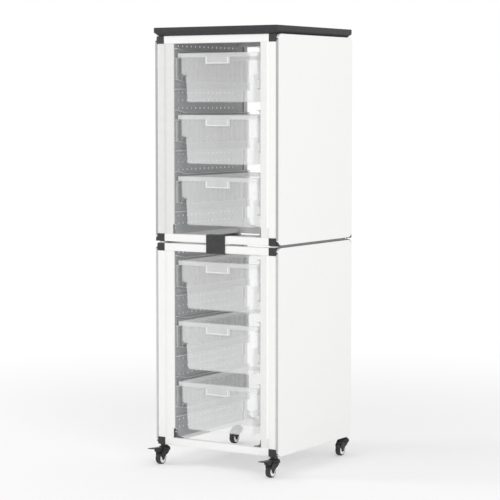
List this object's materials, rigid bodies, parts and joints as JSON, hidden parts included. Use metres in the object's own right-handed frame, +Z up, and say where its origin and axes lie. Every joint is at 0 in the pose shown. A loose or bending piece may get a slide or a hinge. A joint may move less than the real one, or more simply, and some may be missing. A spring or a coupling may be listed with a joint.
{
  "type": "bin storage cabinet",
  "caption": "Tall rolling storage cabinet: stacked open-front white modules with clear pull-out bins in side runners, a dark top and braked swivel casters.",
  "frame": {"origin": "on the floor, at the centre of the box round the whole cabinet, pedals and casters included", "axes": "+Z up, the open front faces -Y, +X to the right of someone who faces the front"},
  "size_m": [0.47, 0.5494, 1.427],
  "materials": {
    "top_laminate": "dark grey laminate, satin",
    "panel_white": "white melamine board, satin",
    "tube_white": "white powder coat",
    "jamb_white": "white powder coat",
    "wall_grey": "light grey powder coat",
    "runner_clear": "moulded translucent plastic",
    "tray_clear": "moulded clear plastic",
    "connector_black": "fine moulded texture",
    "bracket_grey": "grey powder coat",
    "steel_zinc": "zinc plated",
    "fork_black": "moulded nylon",
    "pedal_black": "moulded nylon",
    "cap_black": "moulded cap on a steel pin",
    "tyre_grey": "dark grey rubber tread",
    "hub_white": "moulded light plastic"
  },
  "bodies": {
    "cabinet": {"tabletop": "top_laminate", "corner_posts_lower": "tube_white", "front_rails_lower": "tube_white", "rear_rails_lower": "tube_white", "side_rails_lower": "tube_white", "connectors_lower_bottom": "connector_black", "connectors_lower_top": "connector_black", "rear_jambs_lower": "jamb_white", "side_panel_lower_left": "panel_white", "inner_wall_lower_left": "wall_grey", "front_jamb_lower_left": "jamb_white", "runners_left_lower": "runner_clear", "side_panel_lower_right": "panel_white", "inner_wall_lower_right": "wall_grey", "front_jamb_lower_right": "jamb_white", "runners_right_lower": "runner_clear", "corner_posts_upper": "tube_white", "front_rails_upper": "tube_white", "rear_rails_upper": "tube_white", "side_rails_upper": "tube_white", "connectors_upper_bottom": "connector_black", "connectors_upper_top": "connector_black", "rear_jambs_upper": "jamb_white", "side_panel_upper_left": "panel_white", "inner_wall_upper_left": "wall_grey", "front_jamb_upper_left": "jamb_white", "runners_left_upper": "runner_clear", "side_panel_upper_right": "panel_white", "inner_wall_upper_right": "wall_grey", "front_jamb_upper_right": "jamb_white", "runners_right_upper": "runner_clear", "front_clip": "connector_black", "rear_clip": "connector_black", "corner_gussets": "bracket_grey", "stacking_studs": "connector_black", "caster_stems": "steel_zinc"},
    "bin_lower_1": {"bin_lower_1": "tray_clear"},
    "bin_lower_2": {"bin_lower_2": "tray_clear"},
    "bin_lower_3": {"bin_lower_3": "tray_clear"},
    "bin_upper_1": {"bin_upper_1": "tray_clear"},
    "bin_upper_2": {"bin_upper_2": "tray_clear"},
    "bin_upper_3": {"bin_upper_3": "tray_clear"},
    "caster_front_left": {"fork_front_left": "fork_black", "axle_front_left": "cap_black"},
    "wheel_front_left": {"tyre_front_left": "tyre_grey", "hub_front_left": "hub_white"},
    "caster_front_right": {"fork_front_right": "fork_black", "axle_front_right": "cap_black"},
    "wheel_front_right": {"tyre_front_right": "tyre_grey", "hub_front_right": "hub_white"},
    "caster_rear_left": {"fork_rear_left": "fork_black", "axle_rear_left": "cap_black"},
    "wheel_rear_left": {"tyre_rear_left": "tyre_grey", "hub_rear_left": "hub_white"},
    "caster_rear_right": {"fork_rear_right": "fork_black", "axle_rear_right": "cap_black"},
    "wheel_rear_right": {"tyre_rear_right": "tyre_grey", "hub_rear_right": "hub_white"},
    "pedal_left": {"brake_pedal_left": "pedal_black"},
    "pedal_right": {"brake_pedal_right": "pedal_black"}
  },
  "joints": [
    {"name": "bin_lower_1_slide", "type": "slide", "parent": "cabinet", "child": "bin_lower_1", "axis": [0, -1, 0], "range_m": [0, 0.44]},
    {"name": "bin_lower_2_slide", "type": "slide", "parent": "cabinet", "child": "bin_lower_2", "axis": [0, -1, 0], "range_m": [0, 0.44]},
    {"name": "bin_lower_3_slide", "type": "slide", "parent": "cabinet", "child": "bin_lower_3", "axis": [0, -1, 0], "range_m": [0, 0.44]},
    {"name": "bin_upper_1_slide", "type": "slide", "parent": "cabinet", "child": "bin_upper_1", "axis": [0, -1, 0], "range_m": [0, 0.44]},
    {"name": "bin_upper_2_slide", "type": "slide", "parent": "cabinet", "child": "bin_upper_2", "axis": [0, -1, 0], "range_m": [0, 0.44]},
    {"name": "bin_upper_3_slide", "type": "slide", "parent": "cabinet", "child": "bin_upper_3", "axis": [0, -1, 0], "range_m": [0, 0.44]},
    {"name": "caster_front_left_swivel", "type": "hinge", "parent": "cabinet", "child": "caster_front_left", "pos_m": [-0.2125, -0.19225, 0.055], "axis": [0, 0, 1], "continuous": true},
    {"name": "wheel_front_left_roll", "type": "hinge", "parent": "caster_front_left", "child": "wheel_front_left", "pos_m": [-0.2125, -0.21225, 0.02], "axis": [1, 0, 0], "continuous": true},
    {"name": "caster_front_right_swivel", "type": "hinge", "parent": "cabinet", "child": "caster_front_right", "pos_m": [0.2125, -0.19225, 0.055], "axis": [0, 0, 1], "continuous": true},
    {"name": "wheel_front_right_roll", "type": "hinge", "parent": "caster_front_right", "child": "wheel_front_right", "pos_m": [0.2125, -0.21225, 0.02], "axis": [1, 0, 0], "continuous": true},
    {"name": "caster_rear_left_swivel", "type": "hinge", "parent": "cabinet", "child": "caster_rear_left", "pos_m": [-0.2125, 0.25275, 0.055], "axis": [0, 0, 1], "continuous": true},
    {"name": "wheel_rear_left_roll", "type": "hinge", "parent": "caster_rear_left", "child": "wheel_rear_left", "pos_m": [-0.2125, 0.23275, 0.02], "axis": [1, 0, 0], "continuous": true},
    {"name": "caster_rear_right_swivel", "type": "hinge", "parent": "cabinet", "child": "caster_rear_right", "pos_m": [0.2125, 0.25275, 0.055], "axis": [0, 0, 1], "continuous": true},
    {"name": "wheel_rear_right_roll", "type": "hinge", "parent": "caster_rear_right", "child": "wheel_rear_right", "pos_m": [0.2125, 0.23275, 0.02], "axis": [1, 0, 0], "continuous": true},
    {"name": "pedal_left_press", "type": "hinge", "parent": "caster_front_left", "child": "pedal_left", "pos_m": [-0.2125, -0.20975, 0.047], "axis": [1, 0, 0], "range_deg": [0, 15]},
    {"name": "pedal_right_press", "type": "hinge", "parent": "caster_front_right", "child": "pedal_right", "pos_m": [0.2125, -0.20975, 0.047], "axis": [1, 0, 0], "range_deg": [0, 15]}
  ]
}
